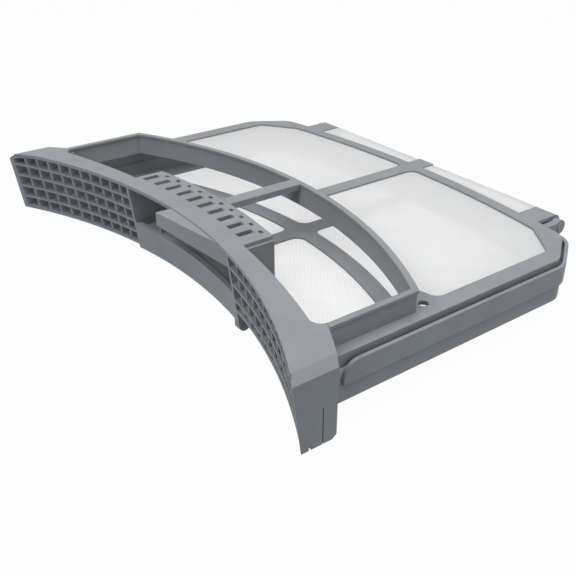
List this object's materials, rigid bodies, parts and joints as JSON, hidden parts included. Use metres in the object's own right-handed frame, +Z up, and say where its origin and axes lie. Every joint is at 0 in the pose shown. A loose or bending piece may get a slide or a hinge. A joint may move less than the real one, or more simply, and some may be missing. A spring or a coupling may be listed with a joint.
{
  "type": "tumble dryer lint filter",
  "caption": "Dryer lint filter: bowed grille head with a finger pocket, flat mesh frame behind it, and a shallow mesh tray hinged under the frame to catch and empty lint.",
  "frame": {"origin": "middle of the bounding box, on its bottom plane", "axes": "+X along the bowed head, +Y from the grille to the hinge, +Z up through the throat"},
  "size_m": [0.345, 0.2568, 0.056],
  "materials": {
    "grey_plastic": "fine satin moulding grain",
    "mesh": "fine plain-woven translucent monofilament"
  },
  "bodies": {
    "upper_half": {"grille_head": "grey_plastic", "upper_frame": "grey_plastic", "upper_mesh_left": "mesh", "upper_mesh_right": "mesh", "rear_mesh_left": "mesh", "rear_mesh_right": "mesh"},
    "tray": {"lower_tray": "grey_plastic", "tray_mesh_front_left": "mesh", "tray_mesh_front_right": "mesh", "tray_mesh_back_left": "mesh", "tray_mesh_back_right": "mesh"}
  },
  "joints": [
    {"name": "tray_hinge", "type": "hinge", "parent": "upper_half", "child": "tray", "pos_m": [0, 0.12186, 0.0365], "axis": [1, 0, 0], "range_deg": [0, 115]}
  ]
}
